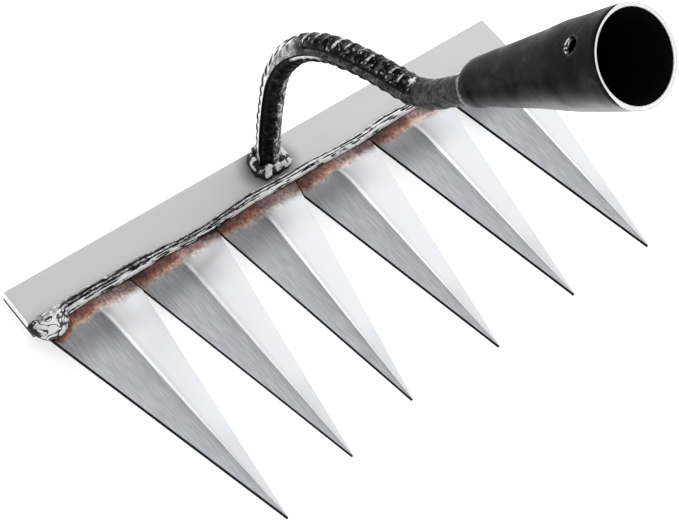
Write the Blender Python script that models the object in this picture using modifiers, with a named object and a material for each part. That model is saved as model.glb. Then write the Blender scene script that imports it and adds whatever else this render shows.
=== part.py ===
"""Weeding rake head: creased teeth welded to a flat bar, a bent ribbed rod as neck, and a tapered socket."""
import math

import bmesh
import bpy
from mathutils import Matrix, Vector, noise

MM = 0.001

# Running gap that touching pieces keep
SEAT = 0.3 * MM

# Flat bar along the back, lying along X with its underside on the ground
BAR_LENGTH = 250.0 * MM
BAR_WIDTH = 20.0 * MM
BAR_THICKNESS = 6.0 * MM
BAR_EDGE = 0.6 * MM

# Teeth, numbered from the -X end; each points to -Y from the bar's front face
TOOTH_COUNT = 6
END_MARGIN = 2.0 * MM
TOOTH_LENGTH = 106.0 * MM
TOOTH_THICKNESS = 3.0 * MM
TOOTH_EDGE = 1.4 * MM
TIP_HALF_WIDTH = 0.25 * MM
TIP_RISE = 1.2 * MM
THINNING_RUN = 10.0 * MM
STATION_ROOM = 0.8 * MM
GROUND_SHARE = 0.35
CREST_SHARE = 0.1
CREASE_HEIGHT = 4.7 * MM
CREASE_ROOT = 1.2 * MM
CREASE_RUN = 15.0 * MM
CREASE_RUN_STATIONS = (0.3, 0.5, 0.67, 0.84, 1.0)
CREASE_ROUNDING = 0.06

# How far each tooth and each notch strays from an even set, as hand fitting leaves them
LENGTH_STRAYS = tuple(value * MM for value in (7.5, 2.3, -2.6, -0.6, -0.8, -0.1))
TIP_STRAYS = tuple(value * MM for value in (8.0, 2.6, -4.1, -0.8, 0.4, 2.3))
CREASE_STRAYS = tuple(value * MM for value in (0.4, -1.5, -0.7, -2.4, -2.4, 1.7))
NOTCH_STRAYS = tuple(value * MM for value in (1.1, 1.2, 0.8, -0.7, -0.5, 0.2, 1.8))
NOTCH_DEPTHS = tuple(value * MM for value in (8.0, 8.1, 3.7, 8.1, 2.9, 2.4, 8.0))
SEAM_LEANS = tuple(value * MM for value in (-2.1, -1.7, -0.6, 2.0, -0.6, -0.5, 0.0))

# Neck: a ribbed rod that leaves the bar's top face and bends forward over the teeth
ROD_DIAMETER = 9.6 * MM
ROD_GROWTH = 0.9 * MM
ROD_X = -3.7 * MM
ROD_OFF_CENTRE = 0.6 * MM
ROD_YAW = math.radians(2.0)
ROD_LEAN_BACK = math.radians(15.3)
ROD_BENDS = (
    (46.6 * MM, math.radians(11.0)),
    (54.7 * MM, math.radians(62.3)),
    (32.8 * MM, math.radians(13.3)),
    (21.0 * MM, math.radians(-37.1)),
)
ROD_LAST_STRAIGHT = 19.8 * MM
ROD_IN_SOCKET = 9.0 * MM
SIDE_RIB_HEIGHT = 0.8 * MM
SIDE_RIB_HALF_ANGLE = math.radians(10)
SIDE_RIB_STEEPNESS = 70.0
CROSS_RIB_HEIGHT = 0.65 * MM
CROSS_RIB_PITCH = 5.5 * MM
CROSS_RIB_SLANT = 1.2 * MM
CROSS_RIB_REACH = 1.6
CROSS_RIB_TAPER = 0.8
PLAIN_AT_FOOT = 7.0 * MM
PLAIN_AT_SOCKET = 7.0 * MM
RIB_FADE = 5.0 * MM
RINGS_PER_RIB = 4
ROD_SIDES = 24

# Handle socket: a tapered tube, closed in to a round shoulder where the rod enters off its middle
SOCKET_LENGTH = 80.6 * MM
SOCKET_LIP_EDGE = 0.6 * MM
SOCKET_SHOULDER = 7.6 * MM
SOCKET_SHOULDER_RADIUS = 8.6 * MM
SOCKET_WAIST = 35.0 * MM
SOCKET_WAIST_RADIUS = 11.7 * MM
SOCKET_KNEE = 55.0 * MM
SOCKET_KNEE_RADIUS = 14.35 * MM
SOCKET_MOUTH_RADIUS = 16.4 * MM
SOCKET_OFFSET = 1.5 * MM
SOCKET_WALL = 1.6 * MM
SOCKET_SIDES = 48
SCREW_HOLE_DIAMETER = 5.2 * MM
SCREW_HOLE_FROM_MOUTH = 12.0 * MM
SCREW_HOLE_TURN = math.radians(44.0)
SCREW_HOLE_SINK = 0.4 * MM

# Weld along the joint of bar and teeth, with a lump where it starts at the -X corner
BEAD_HALF_WIDTH = 2.9 * MM
BEAD_FORWARD = 0.4 * MM
BEAD_HEIGHT = 2.4 * MM
BEAD_WANDER = 0.45 * MM
BEAD_RIPPLE = 0.25 * MM
BEAD_RIPPLE_PITCH = 4.8 * MM
BEAD_STEP = 2.4 * MM
BEAD_OVERHANG = 1.6 * MM
BEAD_WANDER_SIZE = 30.0 * MM
BEAD_END_SIZE = 0.45
BEAD_ANGLES = (155, 125, 95, 65, 30)
LUMP_LENGTH = 18.0 * MM
LUMP_HALF_WIDTH = 6.4 * MM
LUMP_HEIGHT = 4.0 * MM
LUMP_ROUNDNESS = 0.6
UNDER_WELD_DEPTH = 3.4 * MM
UNDER_WELD_STEP = 5.0 * MM
UNDER_WELD_ANGLES = (0, 25, 50, 70, 90)
UNDER_WELD_HOLLOW = 0.25

# Weld rings around the two ends of the rod
FOOT_WELD_WIDTH = 4.2 * MM
FOOT_WELD_HEIGHT = 5.2 * MM
FOOT_WELD_LEAN = 1.0 * MM
SOCKET_WELD_WIDTH = 1.3 * MM
SOCKET_WELD_HEIGHT = 2.8 * MM
WELD_LUMPS = 0.22
WELD_LUMP_SIZE = 6.0 * MM
RING_WELD_SECTIONS = 30
RING_WELD_LUMPS = 3.5
RING_WELD_CRESTS = 5
RING_WELD_OUTLINE = ((0.3, 0.93), (0.62, 0.68), (0.88, 0.36), (1.0, 0.08), (0.96, 0.0))

# Sizes that follow from the ones above
TOOTH_PITCH = (BAR_LENGTH - 2 * END_MARGIN) / TOOTH_COUNT
ROD_RADIUS = ROD_DIAMETER / 2
BAR_TOP = BAR_THICKNESS
ROD_FOOT = Vector((ROD_X, BAR_WIDTH / 2 + ROD_OFF_CENTRE, BAR_TOP))
ROD_FORWARD = Vector((math.sin(ROD_YAW), -math.cos(ROD_YAW), 0))
UP = Vector((0, 0, 1))
ROD_TO_SOCKET = sum(length for length, turn in ROD_BENDS) + ROD_LAST_STRAIGHT
ROD_LENGTH = ROD_TO_SOCKET + ROD_IN_SOCKET
ROD_RADIUS_AT_SOCKET = ROD_RADIUS + ROD_GROWTH / 2
SOCKET_BORE_AT_LIP = ROD_RADIUS_AT_SOCKET + SEAT


def clear_scene():
    for item in list(bpy.data.objects):
        bpy.data.objects.remove(item, do_unlink=True)


def make_collection(name):
    collection = bpy.data.collections.new(name)
    bpy.context.scene.collection.children.link(collection)
    return collection


def make_material(name, color, roughness, metallic):
    material = bpy.data.materials.new(name)
    material.use_nodes = True
    shader = material.node_tree.nodes["Principled BSDF"]
    shader.inputs["Base Color"].default_value = (*color, 1.0)
    shader.inputs["Roughness"].default_value = roughness
    shader.inputs["Metallic"].default_value = metallic
    return material


def smooth_step(value):
    value = min(max(value, 0.0), 1.0)
    return value * value * (3 - 2 * value)


def add_object(name, mesh, material, collection, sharp_angle=35.0):
    """Puts a mesh in the collection as a named object with smooth shading and its own material."""
    mesh.shade_smooth()
    mesh.set_sharp_from_angle(angle=math.radians(sharp_angle))
    mesh.materials.append(material)
    item = bpy.data.objects.new(name, mesh)
    collection.objects.link(item)
    return item


def loft(name, rings, closed=False):
    """Mesh through rings of equally many points, capped at both ends or closed into a ring."""
    shape = bmesh.new()
    rows = [[shape.verts.new(point) for point in ring] for ring in rings]
    pairs = list(zip(rows, rows[1:]))
    if closed:
        pairs.append((rows[-1], rows[0]))
    for low, high in pairs:
        for index in range(len(low)):
            following = (index + 1) % len(low)
            shape.faces.new((low[index], low[following], high[following], high[index]))
    if not closed:
        shape.faces.new(rows[0])
        shape.faces.new(rows[-1])
    bmesh.ops.recalc_face_normals(shape, faces=shape.faces)
    mesh = bpy.data.meshes.new(name)
    shape.to_mesh(mesh)
    shape.free()
    return mesh


def lump(x, y, z, size):
    """Smooth unevenness between about -1 and 1, for hand-laid weld metal."""
    return noise.noise(Vector((x, y, z)) / size)


# Bar

def build_bar(material, collection):
    shape = bmesh.new()
    bmesh.ops.create_cube(shape, size=1.0)
    bmesh.ops.scale(shape, vec=(BAR_LENGTH, BAR_WIDTH, BAR_THICKNESS), verts=shape.verts)
    mesh = bpy.data.meshes.new("back_bar")
    shape.to_mesh(mesh)
    shape.free()
    bar = add_object("back_bar", mesh, material, collection)
    bar.location = (0, BAR_WIDTH / 2, BAR_THICKNESS / 2)
    rounding = bar.modifiers.new("rounded_edges", "BEVEL")
    rounding.width = BAR_EDGE
    rounding.segments = 2
    return bar


# Teeth

def notch_x(index):
    """Where the notch before tooth `index` lies along the bar."""
    return (index - TOOTH_COUNT / 2) * TOOTH_PITCH + NOTCH_STRAYS[index]


def tooth_length(index):
    return TOOTH_LENGTH + LENGTH_STRAYS[index]


def tip_x(index):
    return (index + 0.5 - TOOTH_COUNT / 2) * TOOTH_PITCH + TIP_STRAYS[index]


def side_x(index, notch, back, outward):
    """Side of a tooth: along the seam up to the notch, then straight to the tip."""
    start = notch_x(notch) - outward * SEAT / 2
    depth = NOTCH_DEPTHS[notch]
    if back <= depth:
        return start + SEAM_LEANS[notch] * (1 - back / depth)
    end = tip_x(index) + outward * TIP_HALF_WIDTH
    return start + (end - start) * (back - depth) / (tooth_length(index) - depth)


def tooth_sides(index, back):
    """Left side, crease and right side of a tooth, at a distance from the bar's front face."""
    crease = (notch_x(index) + notch_x(index + 1)) / 2 + CREASE_STRAYS[index]
    middle = crease + (tip_x(index) - crease) * back / tooth_length(index)
    return side_x(index, index, back, -1), middle, side_x(index, index + 1, back, 1)


def tip_rise(index, back):
    return TIP_RISE * back / tooth_length(index)


def crease_height(index, back):
    """Height of the crease over the tooth's sides: it rises behind the root and runs out at the tip."""
    full = CREASE_HEIGHT * (1 - back / tooth_length(index))
    return CREASE_ROOT + (full - CREASE_ROOT) * smooth_step(back / CREASE_RUN) if back < CREASE_RUN else full


def crown(across):
    """Share of the crease's height left at a distance across, from 0 at the crease to 1 at a side."""
    bend = math.hypot(across, CREASE_ROUNDING) - CREASE_ROUNDING
    return 1 - bend / (math.hypot(1, CREASE_ROUNDING) - CREASE_ROUNDING)


def tooth_surface(x, back):
    """Height of the teeth over the bar's top face, at a place along the bar."""
    for index in range(TOOTH_COUNT):
        left, middle, right = tooth_sides(index, back)
        if left <= x <= right:
            half = middle - left if x < middle else right - middle
            return crease_height(index, back) * crown(abs(x - middle) / half) + tip_rise(index, back)
    return 0.0


def build_tooth(index, material, collection):
    length = tooth_length(index)
    stations = {SEAT, NOTCH_DEPTHS[index], NOTCH_DEPTHS[index + 1], (CREASE_RUN + length) / 2, length}
    for share in CREASE_RUN_STATIONS:
        if min(abs(CREASE_RUN * share - station) for station in stations) > STATION_ROOM:
            stations.add(CREASE_RUN * share)
    across = (-1, GROUND_SHARE - 1, -CREST_SHARE, 0, CREST_SHARE, 1 - GROUND_SHARE, 1)
    middle_at_root = tooth_sides(index, 0)[1]
    rings = []
    for back in sorted(stations):
        left, middle, right = tooth_sides(index, back)
        top = []
        bottom = []
        for place in across:
            half = right - middle if place > 0 else middle - left
            x = middle + place * half - middle_at_root
            z = crease_height(index, back) * crown(abs(place)) + tip_rise(index, back)
            ground = min(1.0, (1 - abs(place)) / GROUND_SHARE)
            body = (TOOTH_THICKNESS - TOOTH_EDGE) * min(1.0, half / THINNING_RUN)
            top.append(Vector((x, -back, z)))
            bottom.append(Vector((x, -back, z - TOOTH_EDGE - body * ground)))
        rings.append(top + bottom[::-1])
    name = f"tooth_{index + 1}"
    tooth = add_object(name, loft(name, rings), material, collection, sharp_angle=25.0)
    tooth.location = (middle_at_root, 0, BAR_TOP)
    return tooth


# Welds along the joint

def bead_section(x, swell, size):
    """Closed outline of the top weld across the joint, with its underside clear of bar and teeth."""
    wander = BEAD_WANDER * lump(x, 0, 0, BEAD_WANDER_SIZE) - BEAD_FORWARD
    ripple = BEAD_RIPPLE * math.cos(2 * math.pi * x / BEAD_RIPPLE_PITCH)
    half = (BEAD_HALF_WIDTH + (LUMP_HALF_WIDTH - BEAD_HALF_WIDTH) * swell + ripple) * size
    height = (BEAD_HEIGHT + (LUMP_HEIGHT - BEAD_HEIGHT) * swell + ripple) * size
    on_tooth = tooth_surface(x, half)
    at_joint = tooth_surface(x, 0)
    section = [Vector((x, wander - half, BAR_TOP + on_tooth + SEAT))]
    for angle in BEAD_ANGLES:
        turn = math.radians(angle)
        rise = height * math.sin(turn) + at_joint * (1 - angle / 360)
        rough = 1 + WELD_LUMPS * lump(x, angle * MM, 0.0, WELD_LUMP_SIZE)
        section.append(Vector((x, wander + half * math.cos(turn), BAR_TOP + SEAT + rise * rough)))
    section.append(Vector((x, wander + half, BAR_TOP + SEAT)))
    section.append(Vector((x, SEAT, BAR_TOP + SEAT)))
    section.append(Vector((x, -SEAT, BAR_TOP + at_joint + SEAT)))
    return section


def build_root_weld(material, collection):
    start = -BAR_LENGTH / 2 - BEAD_OVERHANG
    end = BAR_LENGTH / 2 - END_MARGIN
    count = round((end - start) / BEAD_STEP)
    rings = []
    for index in range(count + 1):
        x = start + (end - start) * index / count
        from_start = x - start
        swell = 0.0
        if from_start < LUMP_LENGTH:
            swell = math.sin(math.pi * from_start / LUMP_LENGTH) ** LUMP_ROUNDNESS
        rounding = min(from_start, end - x) / BEAD_HALF_WIDTH
        size = BEAD_END_SIZE + (1 - BEAD_END_SIZE) * math.sqrt(smooth_step(rounding))
        rings.append(bead_section(x, swell, size))
    return add_object("root_weld", loft("root_weld", rings), material, collection)


def build_underside_weld(material, collection):
    """Fillet in the corner of the bar's front face and the teeth's undersides."""
    ceiling = BAR_TOP - TOOTH_THICKNESS - SEAT
    drop = ceiling - BAR_EDGE
    start = -BAR_LENGTH / 2 + 2 * END_MARGIN
    end = -start
    count = round((end - start) / UNDER_WELD_STEP)
    rings = []
    for index in range(count + 1):
        x = start + (end - start) * index / count
        depth = UNDER_WELD_DEPTH * (1 + WELD_LUMPS * lump(x, 0, 0, WELD_LUMP_SIZE))
        ring = [Vector((x, -SEAT, ceiling))]
        for angle in UNDER_WELD_ANGLES:
            turn = math.radians(angle)
            hollow = 1 - UNDER_WELD_HOLLOW * math.sin(2 * turn)
            y = -SEAT - depth * math.cos(turn) * hollow
            ring.append(Vector((x, y, ceiling - drop * math.sin(turn) * hollow)))
        rings.append(ring)
    return add_object("underside_weld", loft("underside_weld", rings), material, collection)


# Neck

def rod_at(length):
    """Centre, heading, outer side and flank of the rod at a distance along it."""
    forward = 0.0
    rise = 0.0
    heading = -ROD_LEAN_BACK
    left = length
    for bend_length, turn in ROD_BENDS:
        run = min(left, bend_length)
        radius = bend_length / turn
        after = heading + run / radius
        forward += radius * (math.cos(heading) - math.cos(after))
        rise += radius * (math.sin(after) - math.sin(heading))
        heading = after
        left -= run
        if left <= 0:
            break
    forward += max(left, 0.0) * math.sin(heading)
    rise += max(left, 0.0) * math.cos(heading)
    centre = ROD_FOOT + ROD_FORWARD * forward + UP * rise
    along = ROD_FORWARD * math.sin(heading) + UP * math.cos(heading)
    outer = UP * math.sin(heading) - ROD_FORWARD * math.cos(heading)
    return centre, along, outer, along.cross(outer)


def rib_height(length, angle):
    """Height of the two side ribs and the slanting cross ribs over the rod's core."""
    from_end = ROD_TO_SOCKET - length
    fade = smooth_step((length - PLAIN_AT_FOOT) / RIB_FADE)
    fade *= smooth_step((from_end - PLAIN_AT_SOCKET) / RIB_FADE)
    side = SIDE_RIB_HEIGHT * max(0.0, abs(math.sin(angle)) - math.cos(SIDE_RIB_HALF_ANGLE)) * SIDE_RIB_STEEPNESS
    on_outer = math.cos(angle) > 0
    shift = 0.0 if on_outer else CROSS_RIB_PITCH / 2
    place = length - shift + CROSS_RIB_SLANT * math.sin(angle)
    wave = max(0.0, math.cos(2 * math.pi * place / CROSS_RIB_PITCH))
    cross = CROSS_RIB_HEIGHT * wave * min(1.0, CROSS_RIB_REACH * abs(math.cos(angle))) ** CROSS_RIB_TAPER
    return (min(side, SIDE_RIB_HEIGHT) + cross) * fade


def build_rod(material, collection):
    step = CROSS_RIB_PITCH / RINGS_PER_RIB
    count = round(ROD_LENGTH / step)
    rings = []
    for index in range(count + 1):
        length = ROD_LENGTH * index / count
        centre, along, outer, flank = rod_at(length)
        ring = []
        for side in range(ROD_SIDES):
            angle = 2 * math.pi * side / ROD_SIDES
            radius = ROD_RADIUS + ROD_GROWTH / 2 * min(length / ROD_TO_SOCKET, 1.0) + rib_height(length, angle)
            point = centre + (outer * math.cos(angle) + flank * math.sin(angle)) * radius
            if index == 0:
                point += along * ((BAR_TOP + SEAT - point.z) / along.z)
            ring.append(point)
        rings.append(ring)
    # The second and third ring are closer to the slanted foot than its low side, so they are left out
    return add_object("neck_rod", loft("neck_rod", rings[:1] + rings[3:]), material, collection)


def ring_weld(name, frame, inner, width, height, material, collection, room=1.0, lean=0.0):
    """Uneven ring of weld metal, seated on z = 0 of a frame.

    inner(angle, rise) is its hole's edge there, room is how far the ring may reach from its middle to -Y,
    and lean is how much wider it is on its +X side.
    """
    rings = []
    for index in range(RING_WELD_SECTIONS):
        angle = 2 * math.pi * index / RING_WELD_SECTIONS
        out = Vector((math.cos(angle), math.sin(angle), 0))
        crests = math.sin(RING_WELD_CRESTS * angle) / 2
        tall = height * (1 + WELD_LUMPS * (lump(out.x, out.y, 0, 1 / RING_WELD_LUMPS) + crests))
        wide = width * (1 + WELD_LUMPS * lump(out.x, out.y, 1, 1 / RING_WELD_LUMPS)) + lean * out.x
        if out.y < 0:
            wide = min(wide, (room + inner(angle, 0.0).y) / -out.y)
        ring = [inner(angle, 0.0), inner(angle, tall)]
        for share, rise in RING_WELD_OUTLINE:
            ring.append(inner(angle, tall * rise) + out * wide * share)
        rings.append([frame @ point for point in ring])
    return add_object(name, loft(name, rings, closed=True), material, collection, sharp_angle=70.0)


def build_foot_weld(material, collection):
    """Weld around the rod's foot, on the bar's top face; its hole leans with the rod."""
    frame = Matrix.Translation(ROD_FOOT + UP * SEAT) @ Matrix.Rotation(ROD_YAW, 4, "Z")
    hole = ROD_RADIUS + SEAT
    slope = math.tan(ROD_LEAN_BACK)
    bead_back = BEAD_HALF_WIDTH + BEAD_RIPPLE + BEAD_WANDER - BEAD_FORWARD
    room = ROD_FOOT.y - bead_back - SEAT

    def inner(angle, rise):
        back = (rise + SEAT) * slope
        return Vector((hole * math.cos(angle), hole * math.sin(angle) / math.cos(ROD_LEAN_BACK) + back, rise))

    return ring_weld(
        "foot_weld", frame, inner, FOOT_WELD_WIDTH, FOOT_WELD_HEIGHT, material, collection, room, FOOT_WELD_LEAN
    )


def socket_frame():
    """Frame on the rod's centre line at the socket's lip: z along the rod, y to the outer side, x to +X."""
    centre, along, outer, flank = rod_at(ROD_TO_SOCKET)
    frame = Matrix((outer.cross(along), outer, along)).transposed().to_4x4()
    frame.translation = centre
    return frame


def build_socket_weld(material, collection):
    """Weld around the rod where it enters the socket, on the socket's end face."""
    flip = Matrix.Rotation(math.pi, 4, "X")
    frame = socket_frame() @ Matrix.Translation((0, 0, -SEAT)) @ flip
    hole = ROD_RADIUS_AT_SOCKET + SEAT

    def inner(angle, rise):
        return Vector((hole * math.cos(angle), hole * math.sin(angle), rise))

    return ring_weld("socket_weld", frame, inner, SOCKET_WELD_WIDTH, SOCKET_WELD_HEIGHT, material, collection)


# Socket

def socket_offset(height):
    """How far the socket's middle lies from the rod's centre line, on the rod's outer side."""
    if height < SOCKET_SHOULDER:
        return SOCKET_OFFSET * math.sqrt(max(height, 0.0) / SOCKET_SHOULDER)
    return SOCKET_OFFSET * (SOCKET_LENGTH - height) / (SOCKET_LENGTH - SOCKET_SHOULDER)


def socket_outside():
    """Radius and height along the outer side, from the mouth down over the shoulder to the lip."""
    lip_radius = SOCKET_BORE_AT_LIP + SOCKET_LIP_EDGE
    outside = [
        (SOCKET_MOUTH_RADIUS, SOCKET_LENGTH),
        (SOCKET_KNEE_RADIUS, SOCKET_KNEE),
        (SOCKET_WAIST_RADIUS, SOCKET_WAIST),
    ]
    for angle in (90, 60, 35, 15, 0):
        turn = math.radians(angle)
        radius = lip_radius + (SOCKET_SHOULDER_RADIUS - lip_radius) * math.sin(turn)
        outside.append((radius, SOCKET_SHOULDER * (1 - math.cos(turn))))
    return outside


def socket_inside():
    """Radius and height along the bore, from the lip up to the mouth."""
    return [
        (SOCKET_BORE_AT_LIP, 0.0),
        (SOCKET_BORE_AT_LIP, SOCKET_WALL * 1.5),
        (SOCKET_SHOULDER_RADIUS - SOCKET_WALL, SOCKET_SHOULDER + SOCKET_WALL),
        (SOCKET_WAIST_RADIUS - SOCKET_WALL, SOCKET_WAIST),
        (SOCKET_KNEE_RADIUS - SOCKET_WALL, SOCKET_KNEE),
        (SOCKET_MOUTH_RADIUS - SOCKET_WALL, SOCKET_LENGTH),
    ]


def socket_ring(radius, height, offset):
    ring = []
    for side in range(SOCKET_SIDES):
        angle = 2 * math.pi * side / SOCKET_SIDES
        ring.append(Vector((radius * math.cos(angle), offset + radius * math.sin(angle), height)))
    return ring


def socket_mesh():
    """Loft over the outer side, around the lip's end, and back up the bore, closed at the mouth's rim."""
    rings = [socket_ring(radius, height, socket_offset(height)) for radius, height in socket_outside()]
    for radius, height in socket_inside():
        offset = 0.0 if height < SOCKET_SHOULDER else socket_offset(height)
        rings.append(socket_ring(radius, height, offset))
    return loft("handle_socket", rings, closed=True)


def screw_hole_frame():
    """Frame whose z runs out through the socket's wall at the screw hole."""
    spin = Matrix.Rotation(math.pi - SCREW_HOLE_TURN, 4, "Z")
    height = SOCKET_LENGTH - SCREW_HOLE_FROM_MOUTH
    rise = Matrix.Translation((0, socket_offset(height), height))
    outward = Matrix.Rotation(math.pi / 2, 4, "Y")
    return socket_frame() @ rise @ spin @ outward


def cutter_cone(name, frame, radius_low, radius_high, low, high, cutters):
    shape = bmesh.new()
    bmesh.ops.create_cone(
        shape, cap_ends=True, segments=24, radius1=radius_low, radius2=radius_high, depth=high - low
    )
    bmesh.ops.translate(shape, vec=(0, 0, (low + high) / 2), verts=shape.verts)
    mesh = bpy.data.meshes.new(name)
    shape.to_mesh(mesh)
    shape.free()
    cutter = bpy.data.objects.new(name, mesh)
    cutters.objects.link(cutter)
    cutter.matrix_world = frame
    cutter.hide_render = True
    cutter.display_type = "WIRE"
    return cutter


def build_socket(material, collection, cutters):
    socket = add_object("handle_socket", socket_mesh(), material, collection)
    socket.matrix_world = socket_frame()
    share = SCREW_HOLE_FROM_MOUTH / (SOCKET_LENGTH - SOCKET_KNEE)
    skin = SOCKET_MOUTH_RADIUS + (SOCKET_KNEE_RADIUS - SOCKET_MOUTH_RADIUS) * share
    hole = SCREW_HOLE_DIAMETER / 2
    through = cutter_cone("screw_hole", screw_hole_frame(), hole, hole, skin / 2, skin * 1.5, cutters)
    sink_low = skin - SCREW_HOLE_SINK
    sink_high = skin + SCREW_HOLE_SINK
    sink = cutter_cone(
        "screw_sink", screw_hole_frame(), hole, hole + 2 * SCREW_HOLE_SINK, sink_low, sink_high, cutters
    )
    for cutter in (through, sink):
        cut = socket.modifiers.new(cutter.name, "BOOLEAN")
        cut.operation = "DIFFERENCE"
        cut.solver = "EXACT"
        cut.object = cutter
    return socket


# Whole object

def stand_on_origin(parts, root):
    """Moves everything so that the middle of the object's base is the origin."""
    bpy.context.view_layer.update()
    graph = bpy.context.evaluated_depsgraph_get()
    corners = []
    for part in parts:
        evaluated = part.evaluated_get(graph)
        mesh = evaluated.to_mesh()
        corners += [part.matrix_world @ vertex.co for vertex in mesh.vertices]
        evaluated.to_mesh_clear()
    low = [min(corner[axis] for corner in corners) for axis in range(3)]
    high = [max(corner[axis] for corner in corners) for axis in range(3)]
    root.location = (-(low[0] + high[0]) / 2, -(low[1] + high[1]) / 2, -low[2])
    print("shift of the frame, mm:", [round(value / MM, 3) for value in root.location])
    print("size, mm:", [round((top - base) / MM, 2) for top, base in zip(high, low)])


def report_places(root):
    """Prints the places that a record of the part needs, in millimetres in the final frame."""
    frame = socket_frame()
    shift = Vector(root.location)
    mouth = frame @ Vector((0, 0, SOCKET_LENGTH)) + shift
    rim = frame @ Vector((SOCKET_MOUTH_RADIUS - SOCKET_WALL / 2, 0, SOCKET_LENGTH)) + shift
    axis = frame.to_3x3() @ UP
    print("mouth centre, mm:", [round(value / MM, 3) for value in mouth])
    print("point on the rim, mm:", [round(value / MM, 3) for value in rim])
    print("socket axis:", [round(value, 5) for value in axis])


def build_rake():
    clear_scene()
    collection = make_collection("weeding_rake_head")
    cutters = make_collection("cutters")
    grey_steel = make_material("grey_bar_steel", (0.58, 0.58, 0.58), 0.5, 0.6)
    weld = make_material("weld_metal", (0.42, 0.41, 0.40), 0.35, 1.0)
    black_rod = make_material("black_rod_steel", (0.03, 0.03, 0.032), 0.4, 0.6)
    black_tube = make_material("black_socket_paint", (0.02, 0.02, 0.022), 0.3, 0.3)
    parts = [build_bar(grey_steel, collection)]
    for index in range(TOOTH_COUNT):
        tooth_steel = make_material(f"tooth_steel_{index + 1}", (0.62, 0.63, 0.65), 0.35, 1.0)
        parts.append(build_tooth(index, tooth_steel, collection))
    parts.append(build_root_weld(weld, collection))
    parts.append(build_underside_weld(weld.copy(), collection))
    parts.append(build_rod(black_rod, collection))
    parts.append(build_foot_weld(weld.copy(), collection))
    parts.append(build_socket(black_tube, collection, cutters))
    parts.append(build_socket_weld(weld.copy(), collection))
    root = bpy.data.objects.new("weeding_rake_frame", None)
    collection.objects.link(root)
    for item in parts + list(cutters.objects):
        item.parent = root
    stand_on_origin(parts, root)
    report_places(root)


build_rake()
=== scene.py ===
"""Looks of the weeding rake head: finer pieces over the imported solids, their materials, lights and camera."""
from math import acos, ceil, cos, degrees, exp, hypot, pi, radians, sin, sqrt

import bmesh
import bpy
from mathutils import Euler, Matrix, Vector, noise


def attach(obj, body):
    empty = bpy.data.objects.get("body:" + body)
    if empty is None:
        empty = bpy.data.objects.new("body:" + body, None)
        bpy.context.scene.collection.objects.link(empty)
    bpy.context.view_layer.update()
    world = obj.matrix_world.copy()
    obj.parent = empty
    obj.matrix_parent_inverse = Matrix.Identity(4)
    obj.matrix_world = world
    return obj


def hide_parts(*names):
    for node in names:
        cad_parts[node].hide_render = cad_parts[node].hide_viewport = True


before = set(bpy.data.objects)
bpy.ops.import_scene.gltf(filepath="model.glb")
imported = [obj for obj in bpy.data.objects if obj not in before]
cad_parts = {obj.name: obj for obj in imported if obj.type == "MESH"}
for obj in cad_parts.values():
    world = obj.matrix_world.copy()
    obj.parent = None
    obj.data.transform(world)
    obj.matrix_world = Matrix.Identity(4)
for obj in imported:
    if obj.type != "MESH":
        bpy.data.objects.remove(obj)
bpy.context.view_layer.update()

MM = 0.001
BODY = "root"
UP = Vector((0, 0, 1))
BACKWARD = Vector((0, 1, 0))
ALONG_BAR = Vector((1, 0, 0))
WHITE = (1, 1, 1, 1)


def in_mm(*values):
    return tuple(value * MM for value in values)


# The pieces are worked out on a bench whose origin is the middle of the bar's front face, at its underside
BENCH = Vector((0.8, 48.344, 0.0)) * MM
SEAT = 0.3 * MM

# Bar and teeth, as in the solids but with a finer crease
BAR_LENGTH = 250.0 * MM
BAR_WIDTH = 20.0 * MM
BAR_TOP = 6.0 * MM
TOOTH_COUNT = 6
END_MARGIN = 2.0 * MM
TOOTH_LENGTH = 106.0 * MM
TOOTH_THICKNESS = 3.0 * MM
TOOTH_EDGE = 1.4 * MM
TIP_HALF_WIDTH = 0.25 * MM
TIP_RISE = 1.2 * MM
THINNING_RUN = 10.0 * MM
GROUND_SHARE = 0.35
CREASE_HEIGHT = 4.7 * MM
CREASE_ROOT = 1.2 * MM
CREASE_RUN = 15.0 * MM
CREASE_ROUNDING = 0.06
LENGTH_STRAYS = in_mm(7.5, 2.3, -2.6, -0.6, -0.8, -0.1)
TIP_STRAYS = in_mm(8.0, 2.6, -4.1, -0.8, 0.4, 2.3)
CREASE_STRAYS = in_mm(0.4, -1.5, -0.7, -2.4, -2.4, 1.7)
NOTCH_STRAYS = in_mm(1.1, 1.2, 0.8, -0.7, -0.5, 0.2, 1.8)
NOTCH_DEPTHS = in_mm(8.0, 8.1, 3.7, 8.1, 2.9, 2.4, 8.0)
SEAM_LEANS = in_mm(-2.1, -1.7, -0.6, 2.0, -0.6, -0.5, 0.0)
TOOTH_PITCH = (BAR_LENGTH - 2 * END_MARGIN) / TOOTH_COUNT
TOOTH_STEP = 2.0 * MM
LATER_SHADOW_LINE_SHARE = 0.5
BLADE_PLACES = (0.012, 0.03, 0.055, 0.09, 0.14, 0.22, 0.4, 0.65, 0.85, 1.0)
BRUSH_LINE_SIZE = (0.38, 9, 8)
BRUSH_LINE_TURN = 0.04
COMB_TURN = -0.165
TINT_DEPTH = 8.0 * MM

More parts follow.
